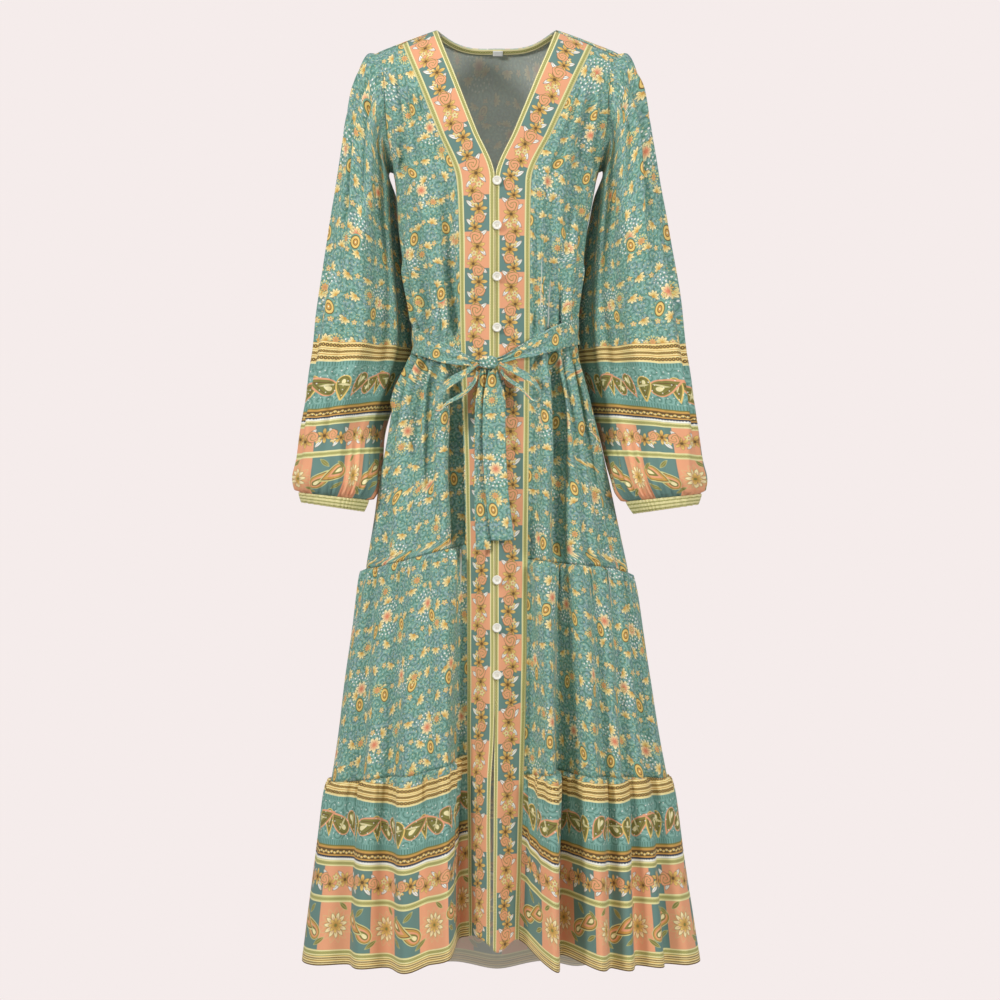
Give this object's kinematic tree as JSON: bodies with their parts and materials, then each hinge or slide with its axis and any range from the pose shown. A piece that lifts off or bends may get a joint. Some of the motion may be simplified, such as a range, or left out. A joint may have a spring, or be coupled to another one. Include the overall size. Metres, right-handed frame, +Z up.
{
  "type": "maxi dress",
  "caption": "Long-sleeved V-neck maxi dress with a button front, two gathered tiers, gathered cuffs and a tied belt, hollow as if worn.",
  "frame": {"origin": "the mount named shoulders: midway between the two shoulder points, at their height and on the side-seam plane, where a wearer's shoulders carry the dress", "axes": "+Z up along the dress, +X to the viewer's right as the front is seen, -Y towards the front"},
  "size_m": [0.5765, 0.3488, 1.3847],
  "materials": {
    "print_cloth": "soft woven viscose with a small printed vine and paisley pattern on teal",
    "border_cloth": "the same cloth printed with horizontal border bands",
    "band_cloth": "the same cloth printed in alternate peach and teal blocks between bead trims",
    "trim_cloth": "the same cloth printed as a narrow bead trim",
    "label_cloth": "plain white woven tape",
    "button": "cream shell-look plastic"
  },
  "bodies": {
    "root": {"back_upper": "print_cloth", "front_left_upper": "print_cloth", "front_right_upper": "print_cloth", "tier_1_back": "print_cloth", "tier_1_front_left": "print_cloth", "tier_1_front_right": "print_cloth", "tier_2_back": "border_cloth", "tier_2_front_left": "border_cloth", "tier_2_front_right": "border_cloth", "band_left": "band_cloth", "band_right": "band_cloth", "sleeve_left": "print_cloth", "sleeve_right": "print_cloth", "cuff_left": "trim_cloth", "cuff_right": "trim_cloth", "neck_binding": "trim_cloth", "neck_label": "label_cloth", "belt_wrap": "print_cloth", "belt_knot": "print_cloth", "belt_loop_left": "print_cloth", "belt_loop_right": "print_cloth", "belt_tail_front": "print_cloth", "belt_tail_back": "print_cloth", "button_01": "button", "button_02": "button", "button_03": "button", "button_04": "button", "button_05": "button", "button_06": "button", "button_07": "button", "button_08": "button", "button_09": "button", "button_10": "button", "button_11": "button"}
  },
  "joints": []
}
